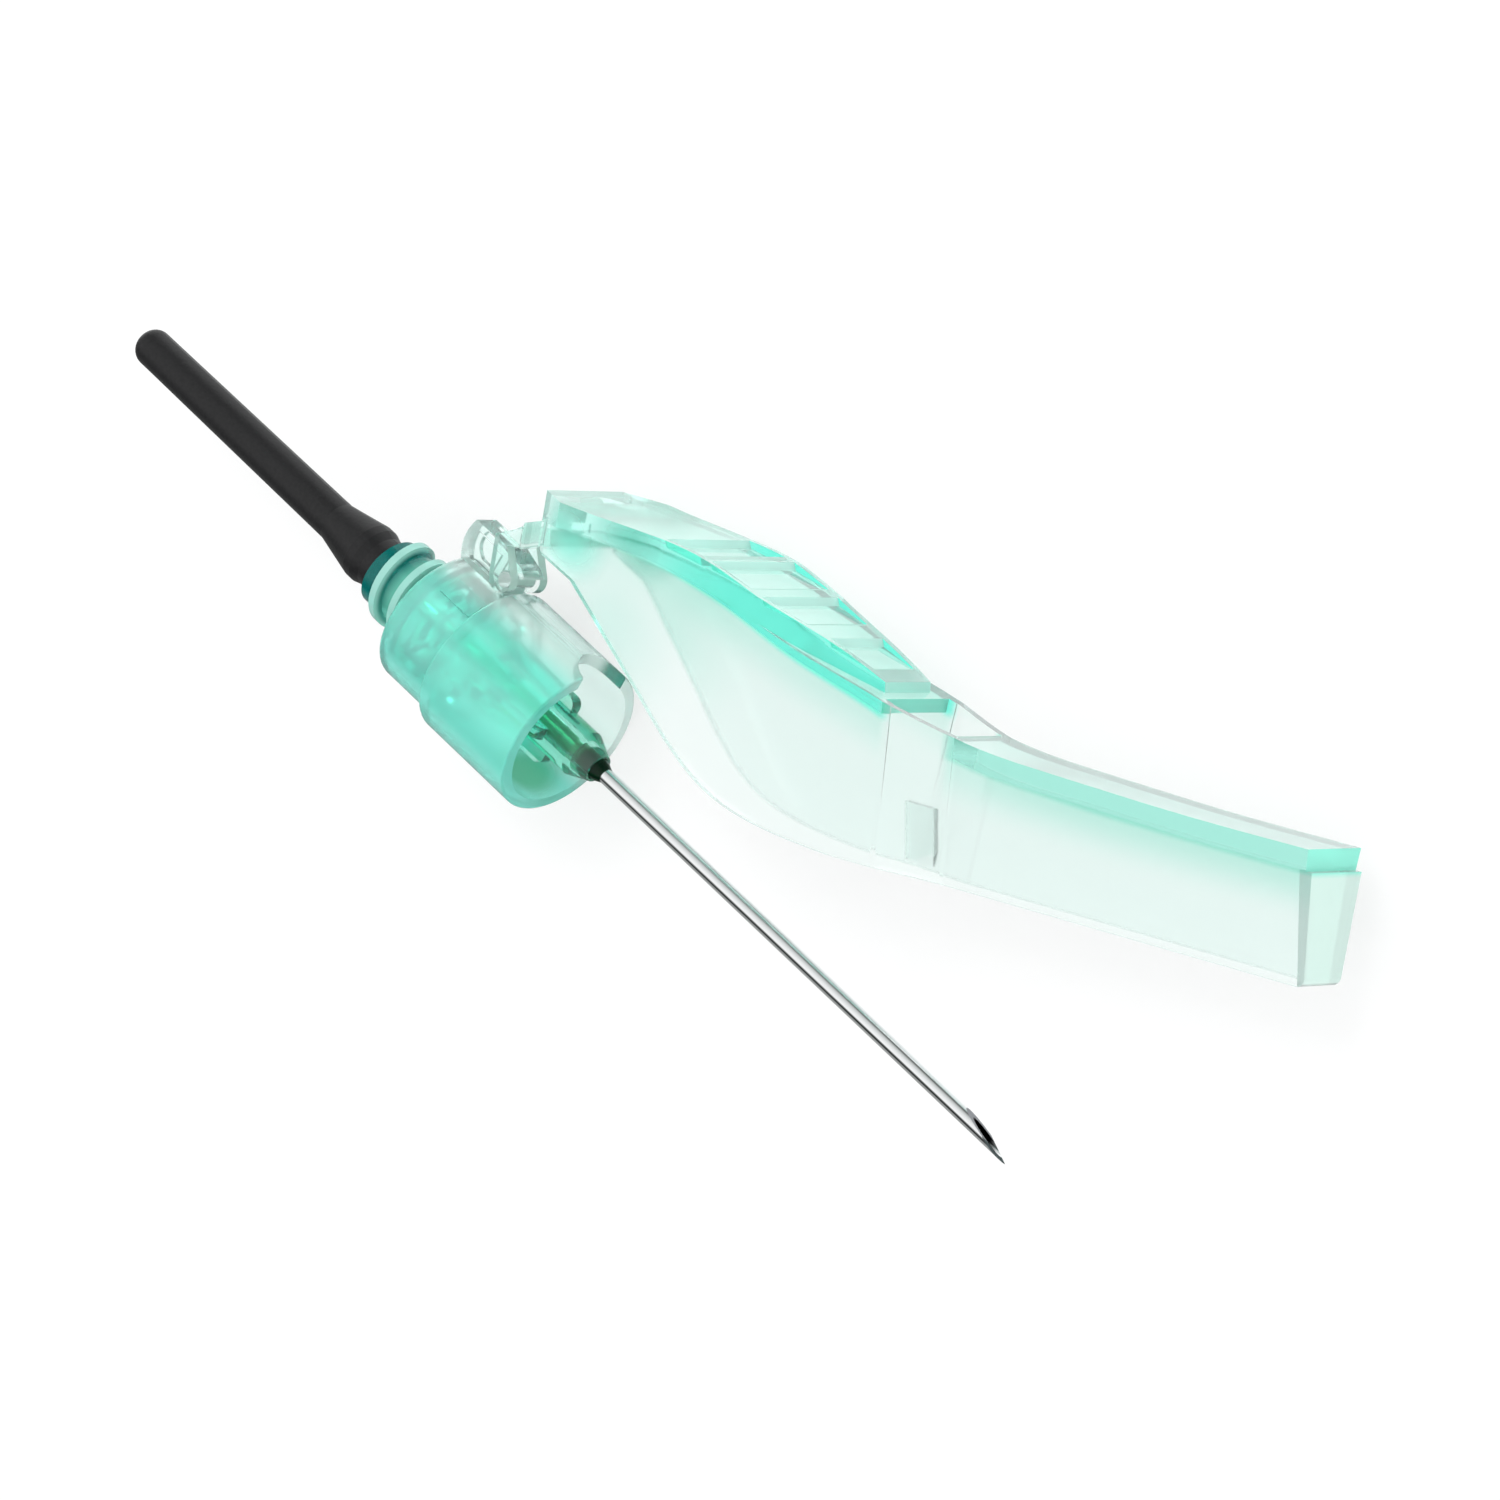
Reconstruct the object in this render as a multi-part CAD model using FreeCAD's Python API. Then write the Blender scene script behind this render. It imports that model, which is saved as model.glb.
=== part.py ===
import FreeCAD
import Part
import math
import os

# Blood collection needle with a pivoting safety shield, in millimetres.
# The needle lies along X, with its patient tip towards +X.
# The origin is on the needle axis, where the collar's rear face seats on a tube holder.
# The shield hinges about Z above the collar, on the +Y side, and the part lies on its -Z side.

# Needle tube
needle_outer_radius = 0.41
needle_wall = 0.15
needle_tip_x = 46.0
needle_rear_x = -22.6
front_bevel_angle = 11.8
lancet_turn = 32.0
lancet_extra_angle = 7.0
lancet_length = 1.5
rear_bevel_angle = 20.0

# Threaded neck of the hub
neck_length = 3.8
neck_root_radius = 1.95
thread_depth = 0.4
thread_pitch = 1.5
thread_turns = 2.0
thread_root_width = 0.86
thread_crest_width = 0.36
thread_sink = 0.06
neck_wall = 0.35
sleeve_recess_depth = 2.4

# Hub inside the collar
flange_thickness = 1.0
core_radius = 1.9
core_length = 5.2
nose_cone_length = 1.3
nose_radius = 1.35
nose_length = 13.4
nose_taper_length = 1.3
nose_lip = 0.12
nipple_radius = 1.15
nipple_reach = 1.5
fin_count = 4
fin_radius = 2.05
fin_thickness = 0.7
fin_length = 10.4
fin_corner_round = 0.5
key_count = 6
key_width = 0.9
key_length = 3.0
key_root_radius = 1.2

# Cured adhesive that holds the needle in the nose
adhesive_film = 0.09
film_start_x = 7.0
well_depth = 1.3
well_gap = 0.27
bead_length = 0.6
bead_shoulder = 0.2

# Collapsible sleeve over the rear needle
sleeve_length = 21.25
sleeve_rear_radius = 1.05
sleeve_front_radius = 1.14
sleeve_wall = 0.5
sleeve_end_wall = 0.7
sleeve_end_round = 0.85
flare_radius = 1.66
flare_length = 2.6
flare_land = 0.5
flare_setback = 1.9
groove_radius = 1.5
groove_length = 0.5

# Collar
rear_skirt_radius = 3.9
rear_skirt_length = 4.0
front_skirt_radius = 4.4
collar_length = 11.0
collar_wall = 0.65
rear_wall = 0.6
skirt_edge_round = 0.35
step_round = 0.25
rim_round = 0.15
rim_notch_radius = 1.75
rim_notch_depth = 1.6
side_pad_start_x = 1.5
side_pad_length = 2.35
side_pad_width = 1.2
side_pad_height = 0.12
side_pad_angle = 40.0

# Hinge between collar and shield
hinge_x = 3.4
hinge_height = 0.85
hinge_bar_radius = 0.42
hook_wall = 0.5
hook_half_thickness = 0.8
hook_rise = 1.25
hook_rear_reach = 3.7
hook_foot_inset = 0.6
hook_crown_inset = 0.15
hook_panel_border = 0.42
hook_panel_depth = 0.3
hook_mouth_low_angle = -80.0
hook_mouth_high_angle = 35.0
open_angle_at_rest = 24.05

# Shield channel. Shield sizes are measured from the hinge axis, with the shield closed,
# when its walls run along the needle. Its own x runs forward and its own y away from the needle.
wall = 0.6
wall_lean = 0.107
width_level_y = -2.1
cheek_half_width = 3.1
blade_half_width = 2.3
shoulder_start_x = 26.8
shoulder_end_x = 30.6
pad_roof_thickness = 0.35
pad_front_roof_thickness = 0.65
blade_roof_thickness = 1.1
channel_rear_x = 3.64
cheek_foot_y = 2.28
cheek_bend_x = 6.02
cheek_bend_y = 1.21
tip_top_x = 52.14
tip_bottom_x = 52.8
tip_wall = 0.6
tip_corner_round = 0.45
tip_step = 0.35
lower_edge_y = -8.98
cheek_end_x = 24.1
window_start_x = 26.3
window_end_x = 30.4
window_low_y = -4.0
window_high_y = 2.0
relief_depth = 0.15
relief_low_y = -6.0
roof_thickens_x = 14.6
channel_top_y = 8.0
channel_low_y = -12.0

# Finger pad and its touch ridges
pad_rear_x = 3.34
pad_rear_half_width = 3.1
pad_widest_x = 5.36
pad_widest_half_width = 4.45
pad_waist_half_width = 3.82
pad_mid_half_width = 3.55
pad_front_half_width = 2.58
pad_end_x = 25.54
pad_end_half_width = 1.9
ridge_xs = (11.7, 14.75, 18.05, 21.95)
ridge_drop = 0.32
ridge_face = 0.22
ridge_run = 2.6
ridge_border = 0.4
pad_sink = 0.1

# Arms that carry the hinge bar
leg_inner_half = 0.9
leg_thickness = 0.6
leg_width = 1.4
leg_lean_angle = 21.0
leg_top_y = 2.4
arm_rear_half_width = 1.55
arm_flare_half_width = 2.05
arm_flare_start_x = 0.9
arm_flare_end_x = 1.4
arm_root_length = 0.6
arm_root_thickness = 1.2
slot_length = 3.65

# Locking finger inside the channel
finger_start_x = 26.3
finger_width = 1.8
finger_root_y = -8.7
finger_top_y = -5.75
finger_lean = 0.75
finger_thickness = 0.4

# Fits
seat_clearance = 0.02
hinge_clearance = 0.06
thread_hole_clearance = 0.1
swing_clearance = 0.05

crest_radius = neck_root_radius + thread_depth
inner_skirt_radius = rear_skirt_radius - collar_wall
bore_radius = needle_outer_radius + seat_clearance
film_radius = needle_outer_radius + adhesive_film
well_radius = needle_outer_radius + well_gap
nipple_end_x = -neck_length - nipple_reach
recess_floor_x = -neck_length + sleeve_recess_depth
recess_radius = neck_root_radius - neck_wall
sleeve_rear_x = -neck_length - sleeve_length
hinge_y = rear_skirt_radius + hinge_height
leg_outer_half = leg_inner_half + leg_thickness
arm_rear_x = swing_clearance - hinge_height
far = 70.0


def vec(x, y, z=0.0):
    return FreeCAD.Vector(x, y, z)


def polygon(points):
    corners = [vec(*p) for p in points]
    return Part.makePolygon(corners + [corners[0]])


def turned(points):
    """Solid of revolution about the needle axis, from (x, radius) points."""
    return Part.Face(polygon(points)).revolve(vec(0, 0), vec(1, 0), 360)


def rod(radius, start_x, end_x):
    return Part.makeCylinder(radius, end_x - start_x, vec(start_x, 0), vec(1, 0))


def spline(points):
    curve = Part.BSplineCurve()
    curve.interpolate([vec(*p) for p in points])
    return curve.toShape()


def arc(start, middle, end):
    return Part.Arc(vec(*start), vec(*middle), vec(*end)).toShape()


def chain(*points):
    """Straight edges from each point to the next."""
    return [Part.LineSegment(vec(*a), vec(*b)).toShape() for a, b in zip(points, points[1:])]


def plate(edges, half_thickness):
    """Closed outline in the XY plane, thickened equally to both sides of it."""
    face = Part.Face(Part.Wire(Part.__sortEdges__(edges)))
    solid = face.extrude(vec(0, 0, 2 * half_thickness))
    solid.translate(vec(0, 0, -half_thickness))
    return solid


def plan_prism(points):
    """Tall prism of a plan given as (x, half width) points, mirrored about the middle plane."""
    near = [(x, -far / 2, half) for x, half in points]
    away = [(x, -far / 2, -half) for x, half in reversed(points)]
    return Part.Face(polygon(near + away)).extrude(vec(0, far, 0))


def round_rims(solid, x, radius, amount):
    """Round the circular edges of this radius about the needle axis at one station."""
    edges = []
    for edge in solid.Edges:
        curve = edge.Curve
        if isinstance(curve, Part.Circle) and abs(curve.Radius - radius) < 0.001:
            if abs(curve.Center.x - x) < 0.001:
                edges.append(edge)
    return solid.makeFillet(amount, edges)


def spokes(piece, count):
    """Copies of a piece, evenly turned about the needle axis."""
    copies = []
    for i in range(count):
        copy = piece.copy()
        copy.rotate(vec(0, 0), vec(1, 0), i * 360 / count)
        copies.append(copy)
    return copies


def bevel_block(point, angle, turn, direction):
    """Block above a plane that rises from a point, away from the needle's end, at this angle."""
    slope = math.radians(angle)
    normal = vec(direction * math.sin(slope), math.cos(slope))
    normal = FreeCAD.Rotation(vec(1, 0, 0), turn).multVec(normal)
    block = Part.makeBox(far, far, far, vec(-far / 2, -far / 2, 0))
    block.Placement = FreeCAD.Placement(point, FreeCAD.Rotation(vec(0, 0, 1), normal))
    return block


def cannula():
    tube = rod(needle_outer_radius, needle_rear_x, needle_tip_x)
    tube = tube.cut(rod(needle_outer_radius - needle_wall, needle_rear_x - 1, needle_tip_x + 1))
    tube = tube.cut(bevel_block(vec(needle_tip_x, -needle_outer_radius), front_bevel_angle, 0, 1))
    rise = lancet_length * math.tan(math.radians(front_bevel_angle))
    for side in (1, -1):
        start = vec(needle_tip_x - lancet_length, rise - needle_outer_radius, side * needle_outer_radius / 2)
        tube = tube.cut(bevel_block(start, front_bevel_angle + lancet_extra_angle, side * lancet_turn, 1))
    return tube.cut(bevel_block(vec(needle_rear_x, -needle_outer_radius), rear_bevel_angle, 0, -1))


def thread():
    """Right-hand ridge of trapezoid section, trimmed to its crest radius."""
    height = thread_pitch * thread_turns
    inner = neck_root_radius - thread_sink
    outer = crest_radius + thread_sink
    root = thread_root_width / 2
    crest = thread_crest_width / 2
    section = polygon([(inner, 0, -root), (outer, 0, -crest), (outer, 0, crest), (inner, 0, root)])
    helix = Part.makeHelix(thread_pitch, height, neck_root_radius)
    sweep = Part.BRepOffsetAPI.MakePipeShell(Part.Wire(helix.Edges))
    sweep.setBiNormalMode(vec(0, 0, 1))
    sweep.add(section)
    sweep.build()
    sweep.makeSolid()
    envelope = Part.makeCylinder(crest_radius, height + 2 * thread_pitch, vec(0, 0, -thread_pitch))
    ridge = sweep.shape().common(envelope)
    ridge.rotate(vec(0, 0), vec(0, 1), 90)
    ridge.translate(vec(root - neck_length, 0))
    return ridge


def hub():
    flange_radius = inner_skirt_radius - seat_clearance
    flange_end_x = rear_wall + flange_thickness
    keys_end_x = rear_wall + key_length
    well_x = nose_length - well_depth
    body = turned([
        (-neck_length, 0), (-neck_length, neck_root_radius), (rear_wall, neck_root_radius),
        (rear_wall, flange_radius), (flange_end_x, flange_radius), (flange_end_x, core_radius),
        (core_length, core_radius), (core_length + nose_cone_length, nose_radius),
        (nose_length - nose_taper_length, nose_radius), (nose_length, well_radius + nose_lip),
        (nose_length, 0),
    ])
    body = body.cut(rod(recess_radius, -neck_length - 1, recess_floor_x))
    body = body.fuse(rod(nipple_radius, nipple_end_x, recess_floor_x))
    key = Part.makeBox(key_length - flange_thickness / 2, inner_skirt_radius, key_width,
                       vec(rear_wall + flange_thickness / 2, key_root_radius, -key_width / 2))
    key = key.common(rod(flange_radius, rear_wall, keys_end_x))
    corner = fin_corner_round * (1 - math.sqrt(0.5))
    fin_root_x = core_length / 2
    fin_shoulder = (fin_length - fin_corner_round, fin_radius)
    fin_front = (fin_length, fin_radius - fin_corner_round)
    fin = plate(chain(fin_front, (fin_length, well_radius), (fin_root_x, well_radius),
                      (fin_root_x, fin_radius), fin_shoulder)
                + [arc(fin_shoulder, (fin_length - corner, fin_radius - corner), fin_front)],
                fin_thickness / 2)
    for part in [thread()] + spokes(key, key_count) + spokes(fin, fin_count):
        body = body.fuse(part)
    body = body.cut(rod(bore_radius, nipple_end_x - 1, nose_length + 1))
    body = body.cut(rod(film_radius, film_start_x, nose_length + 1))
    return body.cut(rod(well_radius, well_x, nose_length + 1)).removeSplitter()


def needle_adhesive():
    well_x = nose_length - well_depth + seat_clearance
    plug_radius = well_radius - seat_clearance
    bead_end_x = nose_length + bead_length
    body = turned([
        (film_start_x, 0), (film_start_x, film_radius - seat_clearance),
        (well_x, film_radius - seat_clearance), (well_x, plug_radius),
        (nose_length, plug_radius), (nose_length + bead_length / 2, plug_radius - bead_shoulder / 2),
        (bead_end_x, bore_radius), (bead_end_x, 0),
    ])
    return body.cut(rod(bore_radius, film_start_x - 1, bead_end_x + 1)).removeSplitter()


def tube_needle_sleeve():
    groove_x = -neck_length - flare_setback + flare_land + groove_length
    land_x = groove_x - groove_length
    flare_x = land_x - flare_land
    base_radius = recess_radius - seat_clearance
    body = turned([
        (sleeve_rear_x, 0), (sleeve_rear_x, sleeve_rear_radius),
        (flare_x - flare_length, sleeve_front_radius), (flare_x, flare_radius), (land_x, flare_radius),
        (groove_x, groove_radius), (-neck_length, base_radius), (recess_floor_x, base_radius),
        (recess_floor_x, 0),
    ])
    body = round_rims(body, sleeve_rear_x, sleeve_rear_radius, sleeve_end_round)
    hollow_radius = sleeve_rear_radius - sleeve_wall
    body = body.cut(rod(hollow_radius, sleeve_rear_x + sleeve_end_wall, recess_floor_x + 1))
    seat = rod(nipple_radius + seat_clearance, nipple_end_x - seat_clearance, recess_floor_x + 1)
    return body.cut(seat).removeSplitter()


def hook():
    """Clear ear on top of the collar whose open eye holds the shield's hinge bar."""
    eye = hinge_bar_radius + hinge_clearance
    rim = eye + hook_wall
    rear = hinge_x - hook_rear_reach
    top = hinge_y + hook_rise
    foot = inner_skirt_radius + collar_wall / 2
    slant = rim * math.sqrt(0.5)
    front = (hinge_x + rim, hinge_y)
    crest = (hinge_x, hinge_y + rim)
    rear_edge = [(rear + hook_foot_inset, foot), (rear, hinge_y), (rear + hook_crown_inset, top)]
    ear = plate([spline(rear_edge)]
                + chain(rear_edge[-1], (hinge_x - rim, top), crest)
                + [arc(crest, (hinge_x + slant, hinge_y + slant), front)]
                + chain(front, (hinge_x + rim, foot), rear_edge[0]),
                hook_half_thickness)
    eye_hole = Part.makeCylinder(eye, 2 * leg_outer_half, vec(hinge_x, hinge_y, -leg_outer_half))
    low = math.radians(hook_mouth_low_angle)
    high = math.radians(hook_mouth_high_angle)
    reach = 2 * rim
    mouth = plate(chain((hinge_x, hinge_y),
                        (hinge_x + reach * math.cos(low), hinge_y + reach * math.sin(low)),
                        (hinge_x + 2 * reach, hinge_y),
                        (hinge_x + reach * math.cos(high), hinge_y + reach * math.sin(high)),
                        (hinge_x, hinge_y)), leg_outer_half)
    border = hook_panel_border
    floor = rear_skirt_radius + border / 2
    panel_edge = [(rear + hook_foot_inset + border, floor), (rear + border, hinge_y),
                  (rear + hook_crown_inset + border, top - border)]
    panel = plate([spline(panel_edge)]
                  + chain(panel_edge[-1], (hinge_x - rim, top - border), (hinge_x - rim, floor),
                          panel_edge[0]), leg_outer_half)
    web = Part.makeBox(far, far, 2 * (hook_half_thickness - hook_panel_depth),
                       vec(-far / 2, -far / 2, hook_panel_depth - hook_half_thickness))
    return ear.cut(eye_hole).cut(mouth).cut(panel.cut(web))


def collar():
    hole = crest_radius + thread_hole_clearance
    step_x = rear_skirt_length + collar_wall
    front_inner = front_skirt_radius - collar_wall
    outside = turned([
        (0, 0), (0, rear_skirt_radius), (rear_skirt_length, rear_skirt_radius),
        (rear_skirt_length, front_skirt_radius), (collar_length, front_skirt_radius),
        (collar_length, 0),
    ])
    outside = round_rims(outside, 0, rear_skirt_radius, skirt_edge_round)
    outside = round_rims(outside, rear_skirt_length, front_skirt_radius, step_round)
    outside = round_rims(outside, collar_length, front_skirt_radius, rim_round)
    for side in (side_pad_angle, -side_pad_angle):
        pad = Part.makeBox(side_pad_length, rear_skirt_radius + side_pad_height, side_pad_width,
                           vec(side_pad_start_x, 0, -side_pad_width / 2))
        pad.rotate(vec(0, 0), vec(1, 0), side)
        outside = outside.fuse(pad)
    outside = outside.fuse(hook())
    inside = turned([
        (-1, 0), (-1, hole), (rear_wall, hole), (rear_wall, inner_skirt_radius),
        (step_x, inner_skirt_radius), (step_x, front_inner), (collar_length + 1, front_inner),
        (collar_length + 1, 0),
    ])
    notch_x = collar_length - rim_notch_depth + rim_notch_radius
    notch = Part.makeCylinder(rim_notch_radius, far, vec(notch_x, 0), vec(0, 1))
    return outside.cut(inside).cut(notch).removeSplitter()


def half_width(x):
    """Half width of the channel's outside at the level where widths are measured."""
    share = (x - shoulder_start_x) / (shoulder_end_x - shoulder_start_x)
    share = min(max(share, 0), 1)
    return cheek_half_width + share * (blade_half_width - cheek_half_width)


def channel_block(inset):
    """Long block whose leaning sides are wide at the cheeks and narrow along the blade."""
    top = channel_top_y
    bottom = channel_low_y
    wires = []
    for x in (-far, shoulder_start_x, shoulder_end_x, far):
        high = half_width(x) - inset + wall_lean * (top - width_level_y)
        low = half_width(x) - inset + wall_lean * (bottom - width_level_y)
        wires.append(polygon([(x, top, high), (x, top, -high), (x, bottom, -low), (x, bottom, low)]))
    return Part.makeLoft(wires, True, True)


roof_top = [(channel_rear_x, 3.82), (7.14, 3.87), (10.64, 3.52), (14.64, 2.72), (20.84, 0.77),
            (25.64, -0.38), (30.64, -1.58), (36.64, -2.03), (44.64, -2.25), (tip_top_x, -2.25)]
pad_top = [(pad_rear_x, 5.35), (pad_widest_x, 5.1), (ridge_xs[0], 4.52), (ridge_xs[1], 4.02),
           (ridge_xs[2], 2.89), (ridge_xs[3], 1.6), (pad_end_x, 0.14)]
cheek_curve = [(11.13, -3.64), (13.6, -5.95), (15.77, -7.42), (19.44, -8.53), (cheek_end_x, lower_edge_y)]
arm_top = [(arm_rear_x, 2.2), (0.54, 2.77), (1.44, 3.27)]
arm_under = [(1.24, 1.87), (-0.1, 1.8)]


def roof_thickness(x):
    """Thin under the wide finger pad, thicker towards the pad's front, thickest in the slab."""
    if x > window_end_x:
        return blade_roof_thickness
    share = max((x - roof_thickens_x) / (pad_end_x - roof_thickens_x), 0)
    return pad_roof_thickness + share * (pad_front_roof_thickness - pad_roof_thickness)


def channel():
    """Walls, roof and end wall of the shield, open below and at the rear."""
    slab_low = roof_top[-1][1] - blade_roof_thickness
    sides = plate([spline(roof_top), spline(cheek_curve)]
                  + chain(roof_top[-1], (tip_top_x, slab_low), (tip_top_x + tip_step, slab_low),
                          (tip_bottom_x, lower_edge_y), cheek_curve[-1])
                  + chain(cheek_curve[0], (cheek_bend_x, cheek_bend_y), (channel_rear_x, cheek_foot_y),
                          roof_top[0]), pad_widest_half_width * 2)
    corner = [e for e in sides.Edges if abs(e.BoundBox.XMin - tip_bottom_x) < 0.001
              and abs(e.BoundBox.YMax - lower_edge_y) < 0.001]
    sides = sides.makeFillet(tip_corner_round, corner)
    plan = [(0, pad_rear_half_width), (pad_rear_x, pad_rear_half_width),
            (pad_widest_x, pad_widest_half_width), (far, pad_widest_half_width)]
    shell = sides.common(channel_block(0)).common(plan_prism(plan))
    under = [(x, y - roof_thickness(x)) for x, y in roof_top]
    start = (under[0][0] - 1, under[0][1])
    end = (tip_top_x - tip_wall, under[-1][1])
    below = lower_edge_y - 2
    room = plate([spline(under[:-1] + [end])]
                 + chain(end, (tip_bottom_x - tip_wall, lower_edge_y), (tip_bottom_x - tip_wall, below),
                         (start[0], below), start, under[0]), pad_widest_half_width * 2)
    return shell.cut(room.common(channel_block(wall)))


def window():
    """Gap in the roof, from wall to wall, between the finger pad and the front slab."""
    gap = Part.makeBox(window_end_x - window_start_x, window_high_y - window_low_y, far,
                       vec(window_start_x, window_low_y, -far / 2))
    return gap.common(channel_block(wall))


def wall_relief():
    """Shallow relief inside both walls below the window, deepest at the top."""
    wires = []
    for x in (shoulder_start_x, window_end_x):
        low = half_width(x) - wall + wall_lean * (relief_low_y - width_level_y)
        high = half_width(x) - wall + wall_lean * (window_high_y - width_level_y) + relief_depth
        wires.append(polygon([(x, window_high_y, high), (x, window_high_y, -high),
                              (x, relief_low_y, -low), (x, relief_low_y, low)]))
    return Part.makeLoft(wires, True, True)


def finger_pad():
    """Thick pad on the roof, narrow at the front, with four stepped touch ridges."""
    under = [(pad_rear_x, roof_top[0][1] - pad_sink)]
    under += [(x, y - pad_sink) for x, y in roof_top[1:6]]
    profile = plate([spline(pad_top[1:]), spline(under)]
                    + chain(pad_top[-1], under[-1]) + chain(under[0], pad_top[0], pad_top[1]),
                    pad_widest_half_width * 2)
    plan = [(pad_rear_x, pad_rear_half_width), (pad_widest_x, pad_widest_half_width),
            (ridge_xs[0], pad_waist_half_width), (ridge_xs[1], pad_waist_half_width),
            (ridge_xs[2], pad_mid_half_width), (ridge_xs[3], pad_front_half_width),
            (pad_end_x, pad_end_half_width),
            (pad_end_x + 1, pad_end_half_width)]
    pad = profile.common(plan_prism(plan))
    ridge_plan = plan_prism([(x, half - ridge_border) for x, half in plan])
    for x, top in pad_top[2:6]:
        slope = (top - pad_top[-1][1]) / (pad_end_x - x)
        dip = plate(chain((x, top), (x + ridge_face, top - ridge_drop - slope * ridge_face),
                          (x + ridge_run, top - slope * ridge_run), (x + ridge_run / 2, top + ridge_run),
                          (x, top)), pad_widest_half_width * 2)
        pad = pad.cut(dip.common(ridge_plan))
    return pad


def arms():
    """Two legs that come down from the roof's rear and carry the hinge bar between them."""
    root_x = channel_rear_x + arm_root_length
    root_top = roof_top[0][1]
    root_low = root_top - arm_root_thickness
    deck = plate(chain(*arm_top, roof_top[0], (root_x, root_top), (root_x, root_low), *arm_under, arm_top[0]),
                 pad_widest_half_width)
    plan = [(-far, arm_rear_half_width), (arm_flare_start_x, arm_rear_half_width),
            (arm_flare_end_x, arm_flare_half_width), (pad_rear_x, pad_rear_half_width),
            (root_x, pad_rear_half_width)]
    half = leg_width / 2
    leg = plate(chain((half, 0), (half, leg_top_y), (-half, leg_top_y), (-half, 0))
                + [arc((-half, 0), (0, -half), (half, 0))], leg_outer_half)
    leg.rotate(vec(0, 0), vec(0, 0, 1), leg_lean_angle)
    slot = Part.makeBox(slot_length + far, far, 2 * leg_inner_half, vec(-far, -far / 2, -leg_inner_half))
    behind = Part.makeBox(far, far, far, vec(arm_rear_x - far, -far / 2, -far / 2))
    bar = Part.makeCylinder(hinge_bar_radius, 2 * leg_outer_half, vec(0, 0, -leg_outer_half))
    return deck.common(plan_prism(plan)).fuse(leg).cut(slot).cut(behind).fuse(bar)


def locking_finger():
    """Springy tongue on the far wall that traps the needle once the shield is closed."""
    root = half_width(finger_start_x + finger_width) - wall + wall_lean * (finger_root_y - width_level_y)
    root_z = -root - finger_thickness / 4
    top_z = finger_lean - root
    half = finger_thickness / 2
    face = Part.Face(polygon([
        (finger_start_x, finger_root_y, root_z - half), (finger_start_x, finger_root_y, root_z + half),
        (finger_start_x, finger_top_y, top_z + half), (finger_start_x, finger_top_y, top_z - half),
    ]))
    return face.extrude(vec(finger_width, 0))


def safety_shield():
    body = channel().cut(window()).cut(wall_relief())
    body = body.fuse(finger_pad()).fuse(arms()).fuse(locking_finger()).removeSplitter()
    body.rotate(vec(0, 0), vec(0, 0, 1), open_angle_at_rest)
    body.translate(vec(hinge_x, hinge_y))
    return body


builders = [cannula, hub, needle_adhesive, tube_needle_sleeve, collar, safety_shield]

os.makedirs("parts", exist_ok=True)
for build in builders:
    shape = build()
    print(build.__name__, len(shape.Solids), "solid", shape.isValid(), round(shape.Volume, 2), "mm3")
    shape = shape.Solids[0] if len(shape.Solids) == 1 else shape
    shape.exportStep(os.path.join("parts", build.__name__ + ".step"))
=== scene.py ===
import bpy, bmesh, math
from mathutils import Matrix, Vector


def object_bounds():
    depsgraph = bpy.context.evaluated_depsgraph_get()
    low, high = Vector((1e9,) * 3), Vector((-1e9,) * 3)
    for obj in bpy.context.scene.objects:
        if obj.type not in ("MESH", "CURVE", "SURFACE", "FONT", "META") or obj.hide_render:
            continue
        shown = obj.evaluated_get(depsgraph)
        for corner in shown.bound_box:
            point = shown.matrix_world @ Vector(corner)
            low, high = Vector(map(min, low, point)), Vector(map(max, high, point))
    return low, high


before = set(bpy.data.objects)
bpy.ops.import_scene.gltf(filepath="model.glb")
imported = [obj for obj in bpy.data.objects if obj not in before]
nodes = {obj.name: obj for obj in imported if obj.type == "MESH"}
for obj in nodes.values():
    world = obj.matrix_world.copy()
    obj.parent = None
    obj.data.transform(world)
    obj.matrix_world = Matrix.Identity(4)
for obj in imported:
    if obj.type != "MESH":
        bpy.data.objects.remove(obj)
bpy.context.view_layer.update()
mm = 0.001
xWay, yWay, zWay = (1.0, 0.0, 0.0), (0.0, 1.0, 0.0), (0.0, 0.0, 1.0)
print("stage: frame loaded")


def linearFromHex(code, alpha=1.0):
    channels = [int(code[i:i + 2], 16) / 255 for i in (0, 2, 4)]
    return tuple(c / 12.92 if c <= 0.04045 else ((c + 0.055) / 1.055) ** 2.4 for c in channels) + (alpha,)


def addNode(tree, kind, inputs=None, **settings):
    # an input is a plain value, a hex colour, a socket, or a node, which gives its first live output
    node = tree.nodes.new(kind)
    for name, value in settings.items():
        setattr(node, name, value)
    for name, value in (inputs or {}).items():
        if isinstance(value, bpy.types.Node):
            value = next(output for output in value.outputs if output.enabled)
        if isinstance(value, bpy.types.NodeSocket):
            tree.links.new(value, node.inputs[name])
        else:
            node.inputs[name].default_value = linearFromHex(value) if isinstance(value, str) else value
    return node


def newMaterial(name):
    material = bpy.data.materials.new(name)
    material.use_nodes = True
    material.node_tree.nodes.clear()
    return material, material.node_tree


def coated(tree, base, *coats):
    # a colour under coats of others, each with the share of it that shows
    for share, colour in coats:
        base = addNode(tree, "ShaderNodeMix", {"Factor": share, "A": base, "B": colour}, data_type="RGBA")
    return base


def measured(tree, vector, way, start, end, eitherWay=False):
    # a share, nothing at start and all at end, measured along a direction, or along both its ways alike
    value = addNode(tree, "ShaderNodeVectorMath", {0: vector, 1: way}, operation="DOT_PRODUCT")
    if eitherWay:
        value = addNode(tree, "ShaderNodeMath", {0: value}, operation="ABSOLUTE")
    return addNode(tree, "ShaderNodeMapRange", {"Value": value, "From Min": start, "From Max": end},
                   interpolation_type="SMOOTHSTEP")


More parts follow.
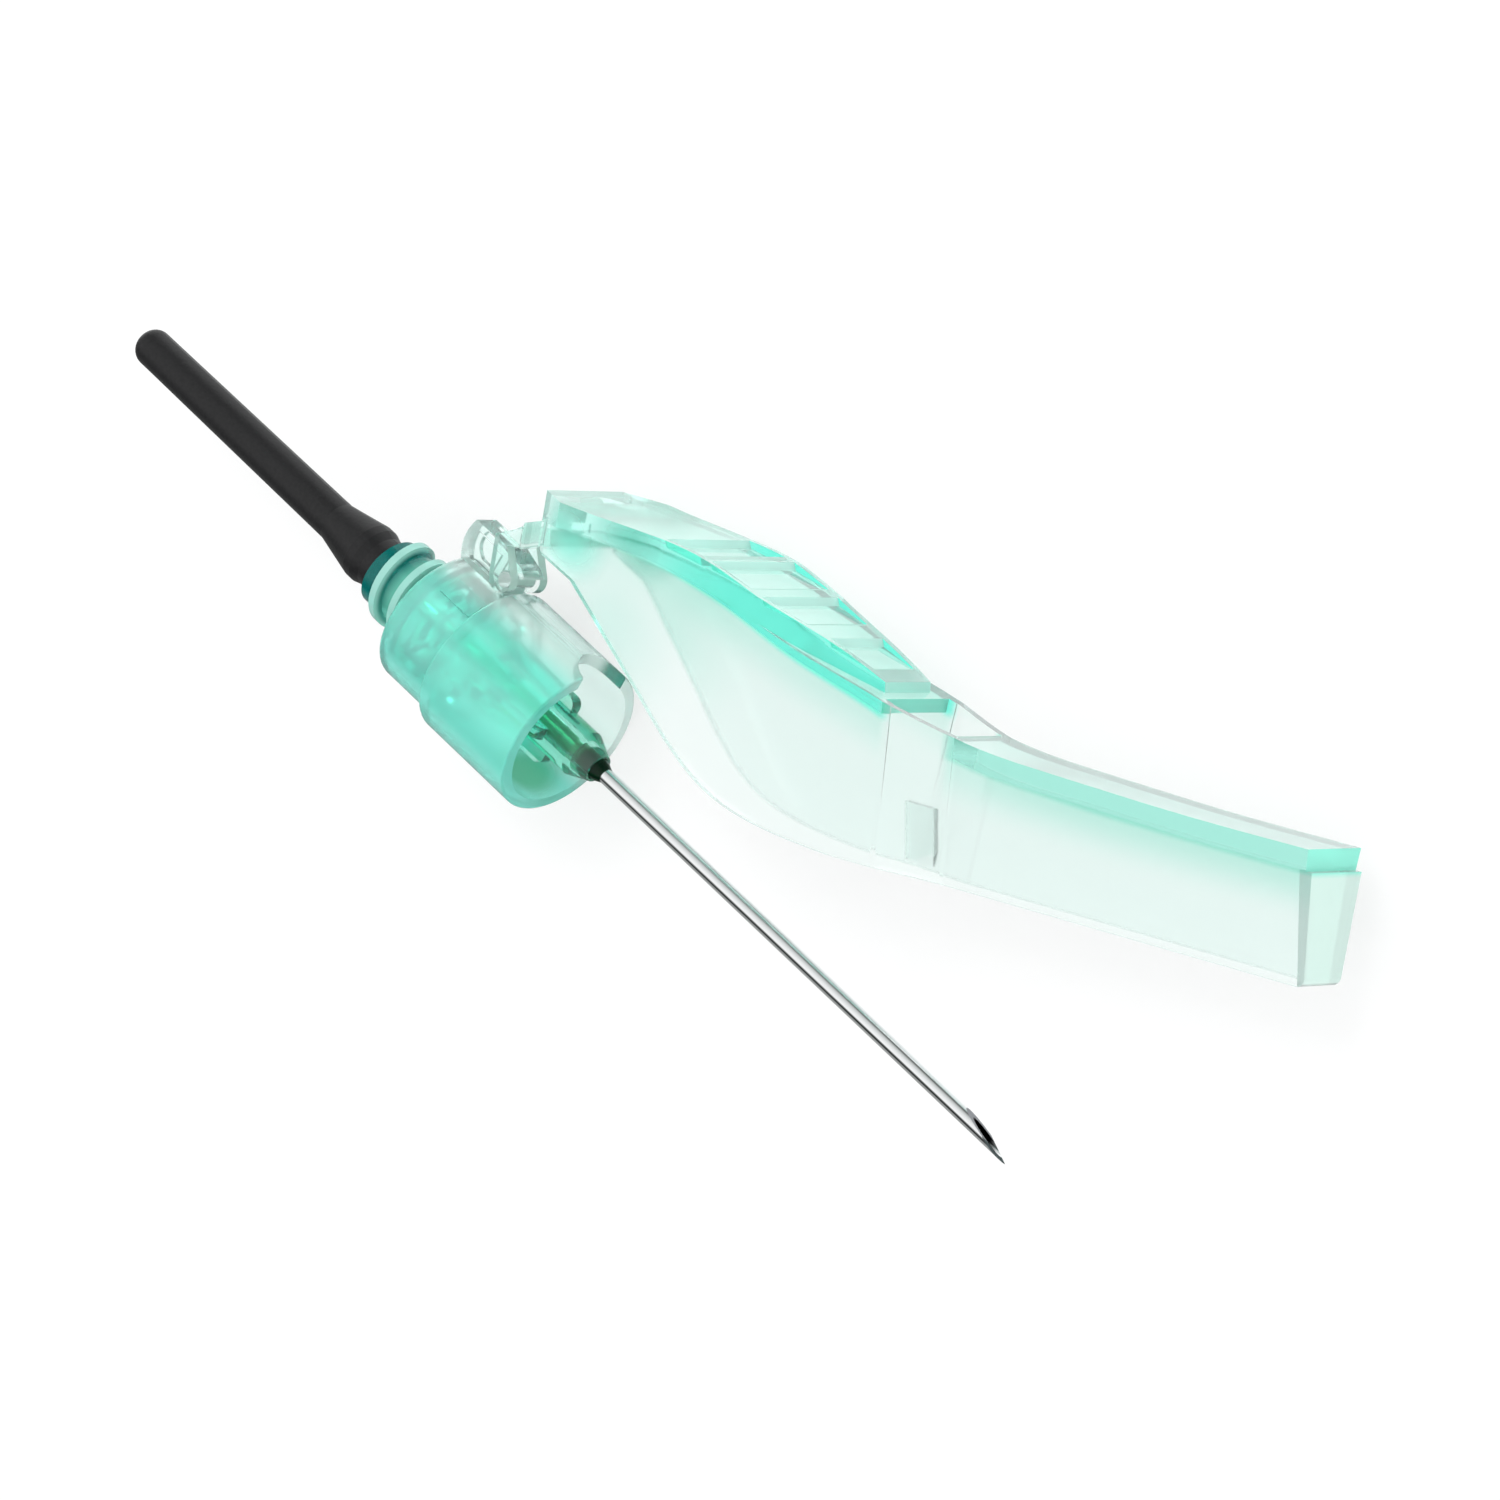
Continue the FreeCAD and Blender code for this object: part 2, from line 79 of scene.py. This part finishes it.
def distant(tree, vector, centre, start, end, counted=(1.0, 1.0, 1.0)):
    # the same by the distance from a centre, with only the counted directions in it
    seen = addNode(tree, "ShaderNodeVectorMath", {0: vector, 1: counted}, operation="MULTIPLY")
    away = addNode(tree, "ShaderNodeVectorMath", {0: seen, 1: centre}, operation="DISTANCE")
    return addNode(tree, "ShaderNodeMapRange", {"Value": away, "From Min": start, "From Max": end},
                   interpolation_type="SMOOTHSTEP")


def offAxis(tree, coords, start, end):
    # the same by the distance from the needle's axis
    return distant(tree, coords.outputs["Object"], (0.0, 0.0, 0.0), start, end, counted=(0.0, 1.0, 1.0))


def combined(tree, operation, first, *others):
    # shares or levels worked into one, in turn
    for other in others:
        first = addNode(tree, "ShaderNodeMath", {0: first, 1: other}, operation=operation)
    return first


clearPlastic = {                           # absorb is the light lost per metre in red, green and blue
    "shield": {"absorb": (22.0, 1.5, 4.0), "clear": 0.96, "rough": 0.10, "ior": 1.49, "shine": 0.5},
    "collar": {"absorb": (40.0, 1.5, 5.0), "clear": 0.66, "rough": 0.13, "ior": 1.45, "shine": 0.5},
    "hub": {"absorb": (220.0, 14.0, 34.0), "clear": 0.95, "rough": 0.08, "ior": 1.42, "shine": 0.2},
    "adhesive": {"absorb": (3000.0, 1000.0, 1700.0), "clear": 0.9, "rough": 0.05, "ior": 1.30, "shine": 0.1},
    "rippleScale": 260.0,                  # per m, so the slow waves of a moulded wall are about 4 mm long
    "rippleStrength": 0.06,
    "rippleDepth": 0.0003,                 # m
}


def mouldedPlastic(name, look, colour, clear=None):
    # clear green polypropylene with a slight haze and the faint flow ripple of moulding. The cured
    # adhesive is made the same way, and its far stronger absorption makes it near black
    material, tree = newMaterial(name)
    coords = addNode(tree, "ShaderNodeTexCoord")
    ripple = addNode(tree, "ShaderNodeTexNoise", {"Vector": coords.outputs["Object"],
                                                  "Scale": clearPlastic["rippleScale"], "Detail": 2.0})
    bump = addNode(tree, "ShaderNodeBump", {"Height": ripple, "Strength": clearPlastic["rippleStrength"],
                                            "Distance": clearPlastic["rippleDepth"]})
    surface = addNode(tree, "ShaderNodeBsdfPrincipled", {
        "Base Color": colour(tree, coords), "Transmission Weight": look["clear"], "IOR": look["ior"],
        "Roughness": look["rough"], "Specular IOR Level": look["shine"], "Normal": bump})
    if clear:
        tree.links.new(clear(tree, coords).outputs[0], surface.inputs["Transmission Weight"])
    density = max(look["absorb"])
    left = tuple(1 - loss / density for loss in look["absorb"]) + (1.0,)
    depth = addNode(tree, "ShaderNodeVolumeAbsorption", {"Color": left, "Density": density})
    addNode(tree, "ShaderNodeOutputMaterial", {"Surface": surface, "Volume": depth})
    return material


openTurn = math.radians(24.05)             # how far the shield stands open as it lies
shieldTint = {
    "hinge": (0.0034, 0.00475, 0.0),       # m
    "frontWay": (math.cos(openTurn), math.sin(openTurn), 0.0),
    "fingerWay": (-math.sin(openTurn), math.cos(openTurn), 0.0),
    # the rest is in mm along the shield from its hinge and above the hinge
    "length": 55.0,
    "underEdge": ((0.0, 1.6), (3.6, 3.5), (7.1, 3.6), (10.6, 3.28), (14.6, 2.42), (20.8, 0.25),
                  (25.6, -1.1), (30.6, -2.75), (36.6, -3.2), (44.6, -3.4), (55.0, -3.4)),
    "curveSpan": 10.0,                     # the curve's own height, with the hinge's level in its middle
    "edgeSoftness": 0.25,
    "wallHex": "F8FFFD",
    "wallNearTopHex": "DDF9F2",
    "wallFade": 2.6,
    "rimShadeHex": "8FA39D",                    # painted shade: the grey of the narrow lower edges of the walls stands in for the dark lines that edges of clear plastic show
    "rimBelow": -1.0,                      # how far under the slabs they begin
    "rimFade": 0.6,
    "underFacing": (-0.6, -0.9),           # from where a face counts as facing down, and is fully so
    "frontFacing": (0.6, 0.9),
    "fingerFacing": (0.5, 0.8),
    "broadFacing": (0.75, 0.35),           # from the broad sides to the surfaces between them
    "rimHaze": 0.80,
    "endHaze": 0.70,
    "fingerHaze": 0.22,
    "padFaceHex": "C8F6EC",                # faces towards the front end, first those of the pad's ridges
    "padEndHex": "90F4DF",                 # then the pad's own front end and all beyond it
    "padEndFrom": 25.2,
    "padEndTo": 26.1,
    "wallEndHex": "D8F1E9",
    "endsAbove": -2.0,                     # faces of the relief, which is lower, keep clear edges
    "endsAboveFade": 0.5,
    "endsBeyond": 38.0,                    # but not out here, past the relief
    "endsBeyondFade": 1.0,
    "windowFrom": 26.9,                    # no tint where the window leaves the walls bare
    "windowTo": 29.8,
    "windowFade": 0.6,
    "cheekHex": "DDF8F1",
    "cheekCentre": (8.6, -0.6, 0.0),
    "cheekReach": 6.5,
    "cloudHex": "A0F6E6",                  # the milky stretch where the arms meet the finger pad
    "cloudCentre": (5.8, 3.4, 0.0),
    "cloudReach": 3.0,
    "cloudHaze": 0.45,
    "padTopHex": "DCFFF7",
    "padRearHex": "E8FFFA",
    "padSideHex": "76FFEA",
    "padRearFrom": 4.0,
    "padRearTo": 14.0,
    "slabTopHex": "EAFCF8",
    "slabSideHex": "B0EFE1",
    "slabFrom": 25.0,
    "slabTo": 31.0,
}


def shieldPlace(tree, coords):
    # a place in mm along the shield from its hinge, and above the hinge
    return addNode(tree, "ShaderNodeMapping", {
        "Vector": coords.outputs["Object"], "Location": shieldTint["hinge"], "Scale": (mm, mm, mm),
        "Rotation": (0.0, 0.0, openTurn)}, vector_type="TEXTURE")


def aboveSlabs(tree, coords, start, end):
    # a share, as in measured, by the height over the undersides of the finger pad and the front slab
    span = shieldTint["curveSpan"]
    place = addNode(tree, "ShaderNodeSeparateXYZ", {0: shieldPlace(tree, coords)})
    under = addNode(tree, "ShaderNodeFloatCurve", {
        "Value": combined(tree, "DIVIDE", place.outputs["X"], shieldTint["length"])})
    spots = [(x / shieldTint["length"], y / span + 0.5) for x, y in shieldTint["underEdge"]]
    line = under.mapping.curves[0]
    for x, y in spots[1:-1]:
        line.points.new(x, y)
    line.points[0].location = spots[0]
    line.points[len(line.points) - 1].location = spots[-1]
    under.mapping.update()
    level = combined(tree, "MULTIPLY", combined(tree, "SUBTRACT", under, 0.5), span)
    above = combined(tree, "SUBTRACT", place.outputs["Y"], level)
    return addNode(tree, "ShaderNodeMapRange", {"Value": above, "From Min": start, "From Max": end},
                   interpolation_type="SMOOTHSTEP")


def shieldRims(tree, coords):
    # the narrow lower edges of the walls, which take both a haze and the painted shade of the rims
    low = aboveSlabs(tree, coords, shieldTint["rimBelow"], shieldTint["rimBelow"] - shieldTint["rimFade"])
    under = measured(tree, coords.outputs["Normal"], shieldTint["fingerWay"], *shieldTint["underFacing"])
    return combined(tree, "MULTIPLY", low, under)


def shieldEnds(tree, coords):
    # surfaces that face the front end, but for those of the shallow relief
    place = shieldPlace(tree, coords)
    high, far = shieldTint["endsAbove"], shieldTint["endsBeyond"]
    highFade, farFade = shieldTint["endsAboveFade"], shieldTint["endsBeyondFade"]
    where = combined(tree, "MAXIMUM", measured(tree, place, yWay, high - highFade, high + highFade),
                     measured(tree, place, xWay, far - farFade, far + farFade))
    front = measured(tree, coords.outputs["Normal"], shieldTint["frontWay"], *shieldTint["frontFacing"])
    return combined(tree, "MULTIPLY", where, front)


def shieldPatch(tree, coords, name):
    # all at the centre of the cheek or the cloud, nothing past its reach
    return distant(tree, shieldPlace(tree, coords), shieldTint[name + "Centre"], shieldTint[name + "Reach"],
                   0.0, counted=(1.0, 1.0, 0.0))


def shieldClear(tree, coords):
    # the narrow edges, the ends and the finger's surfaces are duller than the broad walls
    finger = measured(tree, coords.outputs["Normal"], shieldTint["fingerWay"], *shieldTint["fingerFacing"])
    haze = combined(tree, "MAXIMUM", *(
        combined(tree, "MULTIPLY", share, shieldTint[name])
        for share, name in ((shieldRims(tree, coords), "rimHaze"), (shieldEnds(tree, coords), "endHaze"),
                            (finger, "fingerHaze"), (shieldPatch(tree, coords, "cloud"), "cloudHaze"))))
    return combined(tree, "SUBTRACT", clearPlastic["shield"]["clear"], haze)


def shieldColour(tree, coords):
    # pale walls with tinted ends, edges greyed with painted shade, and a stronger green in the finger pad and
    # the front slab
    place = shieldPlace(tree, coords)
    windowFrom, windowTo = shieldTint["windowFrom"], shieldTint["windowTo"]
    bare = combined(tree, "MULTIPLY",
                    measured(tree, place, xWay, windowFrom - shieldTint["windowFade"], windowFrom),
                    measured(tree, place, xWay, windowTo + shieldTint["windowFade"], windowTo))
    tinted = combined(tree, "SUBTRACT", 1.0, bare)
    softness = shieldTint["edgeSoftness"]
    inSlabs = combined(tree, "MULTIPLY", aboveSlabs(tree, coords, -softness, softness / 2), tinted)
    nearSlabs = combined(tree, "MULTIPLY", aboveSlabs(tree, coords, -shieldTint["wallFade"], 0.0), tinted)
    ends = shieldEnds(tree, coords)
    # the rims' grey here is painted shade
    wall = coated(tree, shieldTint["wallHex"], (nearSlabs, shieldTint["wallNearTopHex"]),
                  (shieldPatch(tree, coords, "cheek"), shieldTint["cheekHex"]),
                  (shieldRims(tree, coords), shieldTint["rimShadeHex"]), (ends, shieldTint["wallEndHex"]))
    onSlab = measured(tree, place, xWay, shieldTint["slabFrom"], shieldTint["slabTo"])
    rear = measured(tree, place, xWay, shieldTint["padRearTo"], shieldTint["padRearFrom"])
    padEnd = measured(tree, place, xWay, shieldTint["padEndFrom"], shieldTint["padEndTo"])
    side = coated(tree, shieldTint["padSideHex"], (rear, shieldTint["padRearHex"]),
                  (onSlab, shieldTint["slabSideHex"]))
    top = coated(tree, shieldTint["padTopHex"], (onSlab, shieldTint["slabTopHex"]))
    end = coated(tree, shieldTint["padFaceHex"], (padEnd, shieldTint["padEndHex"]))
    topward = measured(tree, coords.outputs["Normal"], zWay, *shieldTint["broadFacing"], eitherWay=True)
    return coated(tree, wall, (inSlabs, coated(tree, side, (topward, top), (ends, end))),
                  (shieldPatch(tree, coords, "cloud"), shieldTint["cloudHex"]))


collarTint = {                             # m
    # the collar's own green, which is partly painted shade where it stays deep: the green shadow seen through
    # the collar
    "deepGreenAndShadeHex": "A2FFF2",
    "paleHex": "F0FFFB",
    "sideways": (0.0, 0.7, -0.8),          # the direction in which the tint, partly painted shade, thins out
    "paleFrom": -0.0006,
    "paleTo": 0.0018,
    "clearFrom": 0.0016,                   # the haze thins out too
    "clearTo": 0.0036,
    "clearest": 0.97,
    "mouthFacing": (0.6, 0.9),             # faces towards the needle's tip, as the rim of the mouth
    "mouthHaze": 0.75,
    "coreHex": "4CE8CC",                   # the strong streak over the hub's core
    "corePlace": (0.0, 0.0023, 0.0043),
    "coreReach": 0.0011,
    "coreFrom": 0.0042,                    # along X
    "coreFade": 0.0010,
    "greenHex": "43B986",                  # the greener patch inside the mouth
    "greenCentre": (0.0089, -0.0036, -0.0011),
    "greenReach": 0.0025,
    "innerRadius": 0.00385,
    "outerRadius": 0.00430,
}


def collarColour(tree, coords):
    # strong at the holder's side, partly as painted shade for the green shadow seen through the collar, thinning
    # out towards the hook, with a greener patch inside the mouth
    place = coords.outputs["Object"]
    pale = measured(tree, place, collarTint["sideways"], collarTint["paleFrom"], collarTint["paleTo"])
    start, soft = collarTint["coreFrom"], collarTint["coreFade"]
    core = combined(tree, "MULTIPLY", distant(tree, place, collarTint["corePlace"], collarTint["coreReach"], 0.0,
                                              counted=(0.0, 1.0, 1.0)),
                    measured(tree, place, xWay, start - soft, start + soft))
    reach = collarTint["greenReach"]
    green = combined(tree, "MULTIPLY", distant(tree, place, collarTint["greenCentre"], reach, reach / 3),
                     offAxis(tree, coords, collarTint["outerRadius"], collarTint["innerRadius"]))
    return coated(tree, collarTint["deepGreenAndShadeHex"], (pale, collarTint["paleHex"]), (core, collarTint["coreHex"]),
                  (green, collarTint["greenHex"]))


def collarClear(tree, coords):
    # hazy at the holder's side and on the mouth's rim, clear towards the hook
    thin = measured(tree, coords.outputs["Object"], collarTint["sideways"], collarTint["clearFrom"],
                    collarTint["clearTo"])
    gain = combined(tree, "MULTIPLY", thin, collarTint["clearest"] - clearPlastic["collar"]["clear"])
    mouth = measured(tree, coords.outputs["Normal"], xWay, *collarTint["mouthFacing"])
    haze = combined(tree, "MULTIPLY", thin, mouth, collarTint["mouthHaze"])
    return combined(tree, "ADD", clearPlastic["collar"]["clear"], combined(tree, "SUBTRACT", gain, haze))


hubTint = {                                # m, along X or from the needle's axis
    # painted shade: the neck's valleys between the crests are darkened where the black sleeve shows through
    "valleyShadeHex": "0B8A84",
    "crestHex": "B4F2E6",
    "valleyPaleHex": "80E8D2",             # the valley next to the collar, pale, without the painted shade
    "valleyPaleFrom": -0.0026,
    "valleyPaleTo": -0.0016,
    "coreHex": "8CFFEC",
    "outerHex": "EAFFFA",
    "noseHex": "D4F6E8",
    "valleyHaze": 0.35,
    "crestHaze": 0.55,
    "valleyRadius": 0.00200,
    "crestRadius": 0.00228,
    "neckEnds": 0.0,
    "tintFade": 0.0004,
    "hazeFade": 0.0006,
    "noseFrom": 0.0075,
    "noseTo": 0.0105,
}


def hubColour(tree, coords):
    # painted shade between the thread's crests, strong in the core, and greener in the nose
    place = coords.outputs["Object"]
    crest = offAxis(tree, coords, hubTint["valleyRadius"], hubTint["crestRadius"])
    pale = measured(tree, place, xWay, hubTint["valleyPaleFrom"], hubTint["valleyPaleTo"])
    front = measured(tree, place, xWay, hubTint["neckEnds"] - hubTint["tintFade"],
                     hubTint["neckEnds"] + hubTint["tintFade"])
    nose = measured(tree, place, xWay, hubTint["noseFrom"], hubTint["noseTo"])
    neck = coated(tree, hubTint["valleyShadeHex"], (pale, hubTint["valleyPaleHex"]), (crest, hubTint["crestHex"]))
    body = coated(tree, hubTint["coreHex"], (crest, hubTint["outerHex"]))
    return coated(tree, neck, (front, body), (nose, hubTint["noseHex"]))


def hubClear(tree, coords):
    # the neck and most of all its thread's thin crests scatter light, the rest of the hub stays clear
    crest = offAxis(tree, coords, hubTint["valleyRadius"], hubTint["crestRadius"])
    neck = measured(tree, coords.outputs["Object"], xWay, hubTint["neckEnds"],
                    hubTint["neckEnds"] - hubTint["hazeFade"])
    more = combined(tree, "MULTIPLY", crest, hubTint["crestHaze"] - hubTint["valleyHaze"])
    haze = combined(tree, "MULTIPLY", combined(tree, "ADD", hubTint["valleyHaze"], more), neck)
    return combined(tree, "SUBTRACT", clearPlastic["hub"]["clear"], haze)


adhesiveTint = {
    "filmHex": "A6E6C6",
    "beadHex": "0C5A38",
    "beadFrom": 0.0119,                    # m along X
    "beadTo": 0.0126,
}


def adhesiveColour(tree, coords):
    # nearly clear as a film along the tube, dark where it fills the mouth of the nose
    bead = measured(tree, coords.outputs["Object"], xWay, adhesiveTint["beadFrom"], adhesiveTint["beadTo"])
    return coated(tree, adhesiveTint["filmHex"], (bead, adhesiveTint["beadHex"]))


steelTube = {
    "outsideHex": "F2F3F4",
    "facetHex": "84868A",                  # the ground faces of the bevels
    "facetFacing": (0.05, 0.15),           # from where a face leans enough towards X to be one of them
    # painted shade: the near black inside the bore, where little light reaches
    "boreShadeHex": "060607",
    "boreRadius": 0.00027,                 # m
    "boreEdge": 0.00002,
    "boreShadeTo": 0.0440,                  # m along X, where the painted shade in the bore begins to fade, the bore is lit beyond this
    "boreLitFrom": 0.0452,
    "lineScale": 14000.0,                  # per m, so the drawing lines are 0.07 mm apart
    "lineStretch": 0.02,                   # and fifty times as long as they are wide
    "lineStrength": 0.12,
    "lineDepth": 0.00001,                  # m
    "rough": 0.13,
}


def drawnSteel():
    # bright drawn tube with fine lines along X, grey where it is ground, with painted shade inside its bore
    material, tree = newMaterial("drawnStainlessTube")
    coords = addNode(tree, "ShaderNodeTexCoord")
    stretch = addNode(tree, "ShaderNodeMapping", {"Vector": coords.outputs["Object"],
                                                  "Scale": (steelTube["lineStretch"], 1.0, 1.0)})
    lines = addNode(tree, "ShaderNodeTexNoise", {"Vector": stretch, "Scale": steelTube["lineScale"],
                                                 "Detail": 3.0})
    bump = addNode(tree, "ShaderNodeBump", {"Height": lines, "Strength": steelTube["lineStrength"],
                                            "Distance": steelTube["lineDepth"]})
    outside = offAxis(tree, coords, steelTube["boreRadius"], steelTube["boreRadius"] + steelTube["boreEdge"])
    lit = measured(tree, coords.outputs["Object"], xWay, steelTube["boreShadeTo"], steelTube["boreLitFrom"])
    ground = measured(tree, coords.outputs["Normal"], xWay, *steelTube["facetFacing"], eitherWay=True)
    bright = coated(tree, steelTube["outsideHex"], (ground, steelTube["facetHex"]))
    tone = coated(tree, steelTube["boreShadeHex"], (combined(tree, "MAXIMUM", outside, lit), bright))
    surface = addNode(tree, "ShaderNodeBsdfPrincipled", {
        "Base Color": tone, "Metallic": 1.0, "Roughness": steelTube["rough"], "Normal": bump})
    addNode(tree, "ShaderNodeOutputMaterial", {"Surface": surface})
    return material


rubberSleeve = {
    "darkHex": "151516",
    "paleHex": "242425",
    "grainScale": 5200.0,                  # per m, so the grain is 0.2 mm across, coarser than real to show
    "grainStrength": 0.25,
    "grainDepth": 0.00004,                 # m
    "rough": 0.42,
    "shine": 0.24,
}


def blackRubber():
    # moulded black elastomer, near black with a fine matt grain and one broad dull highlight
    material, tree = newMaterial("mouldedBlackRubber")
    coords = addNode(tree, "ShaderNodeTexCoord")
    grain = addNode(tree, "ShaderNodeTexNoise", {"Vector": coords.outputs["Object"],
                                                 "Scale": rubberSleeve["grainScale"], "Detail": 4.0})
    bump = addNode(tree, "ShaderNodeBump", {"Height": grain, "Strength": rubberSleeve["grainStrength"],
                                            "Distance": rubberSleeve["grainDepth"]})
    surface = addNode(tree, "ShaderNodeBsdfPrincipled", {
        "Base Color": coated(tree, rubberSleeve["darkHex"], (grain, rubberSleeve["paleHex"])),
        "Roughness": rubberSleeve["rough"], "Specular IOR Level": rubberSleeve["shine"], "Normal": bump})
    addNode(tree, "ShaderNodeOutputMaterial", {"Surface": surface})
    return material


def dress(node, material):
    mesh = nodes[node].data
    for i in range(len(mesh.materials)):
        mesh.materials[i] = material


dress("safety_shield",
      mouldedPlastic("clearShieldPolypropylene", clearPlastic["shield"], shieldColour, shieldClear))
dress("collar", mouldedPlastic("hazyCollarPolypropylene", clearPlastic["collar"], collarColour, collarClear))
dress("hub", mouldedPlastic("clearHubPolypropylene", clearPlastic["hub"], hubColour, hubClear))
dress("needle_adhesive", mouldedPlastic("curedGreenAdhesive", clearPlastic["adhesive"], adhesiveColour))
dress("cannula", drawnSteel())
dress("tube_needle_sleeve", blackRubber())
print("stage: materials")


view = {
    "target": (20.699, 6.649, 0.0),        # mm, the point at the picture's centre
    "right": (0.6397, 0.4691, -0.6088),
    "up": (-0.5965, 0.8026, -0.0084),
    "toward": (0.4847, 0.3685, 0.7933),
    "distance": 430.0,
    "frameWidth": 75.859,                  # mm seen across the picture at the target
    "clipStart": 0.01,                     # m
}

studio = {
    "floorHex": "F7F8F8",
    "floorSize": 1.6,                      # m
    "floorCentre": (0.02, 0.0),            # m, X and Y
    "floorGlow": 0.72,                     # share of plain white the camera sees in the floor
    "floorGlowThrough": 0.94,              # the same, seen through clear plastic
    "floorDarkHex": "8C8E8D",              # what steel mirrors from the floor in front of the needle
    "floorDarkFrom": -0.0015,              # m along Y, where that floor turns dark
    "floorDarkTo": -0.0060,
    "worldStrength": 0.97,
    "worldThroughLow": "F3F7F6",           # what clear plastic shows of the horizon
    "worldThroughHigh": "FFFFFF",
    "horizonFrom": 0.05,                   # where one turns into the other, as the height of the look
    "horizonTo": 0.55,
    "mirrored": (                          # grey seen in gloss, by angle about X from +Y in degrees
        (0, "A8ABAA"), (10, "8A8D8C"), (16, "5E605F"), (24, "5E605F"), (34, "989B9A"), (54, "D4D7D6"),
        (77, "ECEEED"), (100, "FFFFFF"), (122, "FFFFFF"), (140, "9A9D9C"), (152, "242525"), (168, "242525"),
        (182, "9A9D9C"), (345, "C4C8C7")),
    "lamps": (                             # W, size in m, place from the target in m
        ("keyLamp", 1.0, 0.30, (-0.16, 0.26, 0.34)),
        ("fillLamp", 0.35, 0.4, (0.34, -0.20, 0.28))),
    "bounces": 20,                         # light crosses up to a dozen clear walls
    "glossyBounces": 8,
}


def buildFloor():
    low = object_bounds()[0][2]
    shape = bmesh.new()
    bmesh.ops.create_grid(shape, x_segments=1, y_segments=1, size=studio["floorSize"] / 2)
    bmesh.ops.translate(shape, verts=shape.verts, vec=studio["floorCentre"] + (low,))
    mesh = bpy.data.meshes.new("floor")
    shape.to_mesh(mesh)
    shape.free()
    floor = bpy.data.objects.new("floor", mesh)
    bpy.context.collection.objects.link(floor)

    # white to the camera, diffuse to the lamps, and darker in front of the needle to what mirrors it
    material, tree = newMaterial("paleFloor")
    rays = addNode(tree, "ShaderNodeLightPath")
    coords = addNode(tree, "ShaderNodeTexCoord")
    ahead = measured(tree, coords.outputs["Object"], yWay, studio["floorDarkFrom"], studio["floorDarkTo"])
    dark = combined(tree, "MULTIPLY", ahead, rays.outputs["Is Glossy Ray"])
    diffuse = addNode(tree, "ShaderNodeBsdfDiffuse", {
        "Color": coated(tree, studio["floorHex"], (dark, studio["floorDarkHex"]))})
    glow = addNode(tree, "ShaderNodeEmission", {"Color": "FFFFFF", "Strength": 1.0})
    share = combined(tree, "MAXIMUM",
                     combined(tree, "MULTIPLY", rays.outputs["Is Camera Ray"], studio["floorGlow"]),
                     combined(tree, "MULTIPLY", rays.outputs["Is Transmission Ray"], studio["floorGlowThrough"]))
    blend = addNode(tree, "ShaderNodeMixShader", {0: share, 1: diffuse, 2: glow})
    addNode(tree, "ShaderNodeOutputMaterial", {"Surface": blend})
    mesh.materials.append(material)


def lightStudio():
    world = bpy.data.worlds.new("studio")
    bpy.context.scene.world = world
    world.use_nodes = True
    tree = world.node_tree
    tree.nodes.clear()
    coords = addNode(tree, "ShaderNodeTexCoord")
    toward = addNode(tree, "ShaderNodeSeparateXYZ", {0: coords.outputs["Generated"]})
    rays = addNode(tree, "ShaderNodeLightPath")
    angle = combined(tree, "ARCTAN2", toward.outputs["Z"], toward.outputs["Y"])
    turns = addNode(tree, "ShaderNodeMath", {0: combined(tree, "DIVIDE", angle, 2 * math.pi)},
                    operation="FRACT")
    mirrored = addNode(tree, "ShaderNodeValToRGB", {0: turns})
    stops = mirrored.color_ramp.elements
    while len(stops) < len(studio["mirrored"]):
        stops.new(0.5)
    for stop, (degrees, code) in zip(stops, studio["mirrored"]):
        stop.position = degrees / 360
    for stop, (degrees, code) in zip(stops, studio["mirrored"]):   # only now does their order stay
        stop.color = linearFromHex(code)
    high = measured(tree, coords.outputs["Generated"], zWay, studio["horizonFrom"], studio["horizonTo"])
    through = coated(tree, studio["worldThroughLow"], (high, studio["worldThroughHigh"]))
    tone = coated(tree, "FFFFFF", (rays.outputs["Is Transmission Ray"], through),
                  (rays.outputs["Is Glossy Ray"], mirrored))
    level = combined(tree, "MAXIMUM", rays.outputs["Is Glossy Ray"], studio["worldStrength"])
    sky = addNode(tree, "ShaderNodeBackground", {"Color": tone, "Strength": level})
    addNode(tree, "ShaderNodeOutputWorld", {"Surface": sky})

    for name, power, size, place in studio["lamps"]:
        data = bpy.data.lights.new(name, "AREA")
        data.energy = power
        data.size = size
        lamp = bpy.data.objects.new(name, data)
        lamp.location = Vector(view["target"]) * mm + Vector(place)
        lamp.rotation_euler = (-Vector(place)).to_track_quat("-Z", "Y").to_euler()
        lamp.visible_glossy = False        # the world alone is mirrored
        bpy.context.collection.objects.link(lamp)


def placeCamera():
    data = bpy.data.cameras.new("camera")
    data.lens_unit = "FOV"
    data.angle = 2 * math.atan(view["frameWidth"] / 2 / view["distance"])
    data.clip_start = view["clipStart"]
    camera = bpy.data.objects.new("camera", data)
    turn = Matrix((view["right"], view["up"], view["toward"])).transposed().to_4x4()
    place = Vector(view["target"]) + view["distance"] * Vector(view["toward"])
    camera.matrix_world = Matrix.Translation(place * mm) @ turn
    bpy.context.collection.objects.link(camera)
    bpy.context.scene.camera = camera


buildFloor()
lightStudio()
placeCamera()
scene = bpy.context.scene
scene.view_settings.view_transform = "Standard"
scene.cycles.max_bounces = studio["bounces"]
scene.cycles.transmission_bounces = studio["bounces"]
scene.cycles.glossy_bounces = studio["glossyBounces"]
print("stage: studio")
